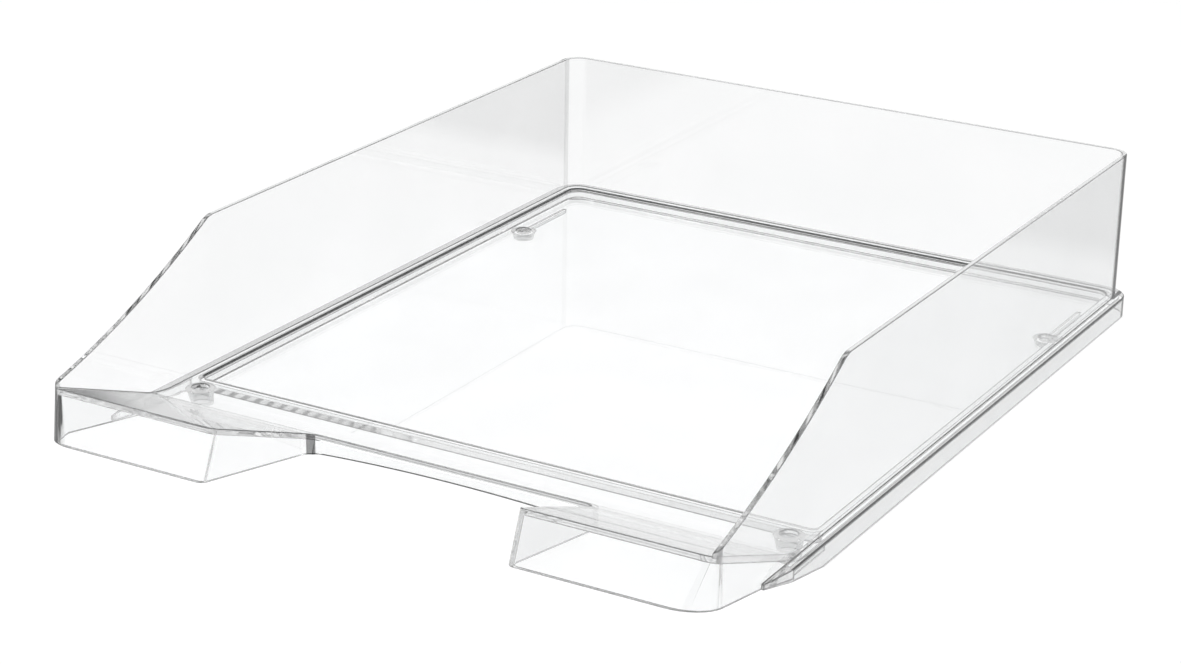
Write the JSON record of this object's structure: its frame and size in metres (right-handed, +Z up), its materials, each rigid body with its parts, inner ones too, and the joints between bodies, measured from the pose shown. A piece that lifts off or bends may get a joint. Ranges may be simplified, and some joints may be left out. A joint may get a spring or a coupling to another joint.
{
  "type": "letter tray",
  "caption": "Clear open-fronted letter tray with a sunken floor, raised hollow front blocks beside a finger gap, and a skirt and ledge for stacking.",
  "frame": {"origin": "centre of the footprint, on the desk", "axes": "+X to the right seen from the open front, +Y to the rear wall, +Z up"},
  "size_m": [0.255, 0.348, 0.065],
  "materials": {
    "clear_plastic": "polished clear"
  },
  "bodies": {
    "root": {"floor_panel": "clear_plastic", "front_apron": "clear_plastic", "front_floor_step": "clear_plastic", "front_left_cup": "clear_plastic", "front_right_cup": "clear_plastic", "front_shelf": "clear_plastic", "left_block_face": "clear_plastic", "left_block_inner_side": "clear_plastic", "left_block_top": "clear_plastic", "left_floor_rib": "clear_plastic", "left_floor_step": "clear_plastic", "left_ledge": "clear_plastic", "left_side_wall": "clear_plastic", "left_skirt": "clear_plastic", "lip_ramp": "clear_plastic", "rear_floor_step": "clear_plastic", "rear_ledge": "clear_plastic", "rear_left_cup": "clear_plastic", "rear_right_cup": "clear_plastic", "rear_skirt": "clear_plastic", "rear_wall": "clear_plastic", "right_block_face": "clear_plastic", "right_block_inner_side": "clear_plastic", "right_block_top": "clear_plastic", "right_floor_rib": "clear_plastic", "right_floor_step": "clear_plastic", "right_ledge": "clear_plastic", "right_side_wall": "clear_plastic", "right_skirt": "clear_plastic"}
  },
  "joints": []
}
